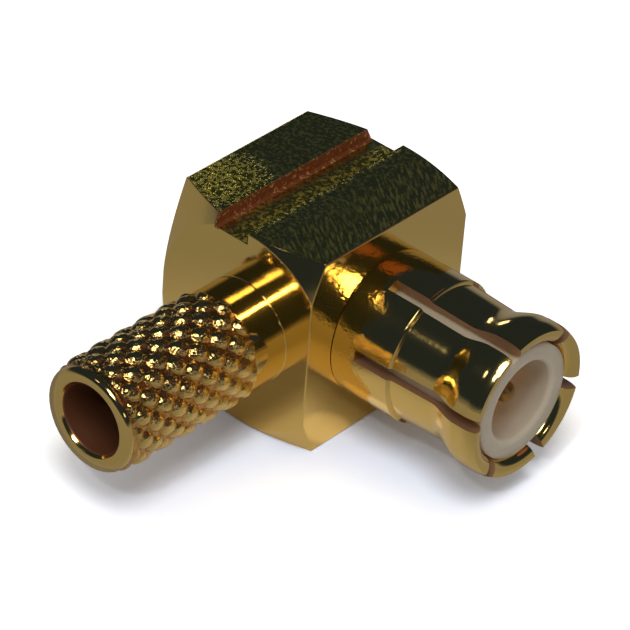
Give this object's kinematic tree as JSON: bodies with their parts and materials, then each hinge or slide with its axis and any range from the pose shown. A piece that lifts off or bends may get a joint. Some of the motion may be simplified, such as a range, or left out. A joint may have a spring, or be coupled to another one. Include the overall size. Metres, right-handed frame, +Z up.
{
  "type": "right-angle coaxial plug connector",
  "caption": "Gold-plated right-angle push-fit coaxial plug: a milled block with a slotted sprung barrel round a recessed pin and a knurled crimp stem for a thin cable.",
  "frame": {"origin": "centre of the block's flat underside, right below the crossing of the two axes", "axes": "+X is the mating direction, along the barrel towards its open end; -Y is the direction in which the cable leaves the crimp stem; +Z is up"},
  "size_m": [0.0087, 0.0102, 0.0052],
  "materials": {
    "gold_body": "polished gold plating on brass, milled top",
    "gold_barrel": "polished gold plating",
    "white_bushing": "turned white fluoropolymer, satin",
    "gold_pin": "polished gold plating",
    "white_plug": "turned white fluoropolymer, satin",
    "gold_cap": "polished gold plating"
  },
  "bodies": {
    "root": {"body": "gold_body", "outer_contact": "gold_barrel", "front_insulator": "white_bushing", "center_contact": "gold_pin", "rear_insulator": "white_plug", "rear_cap": "gold_cap"}
  },
  "joints": []
}
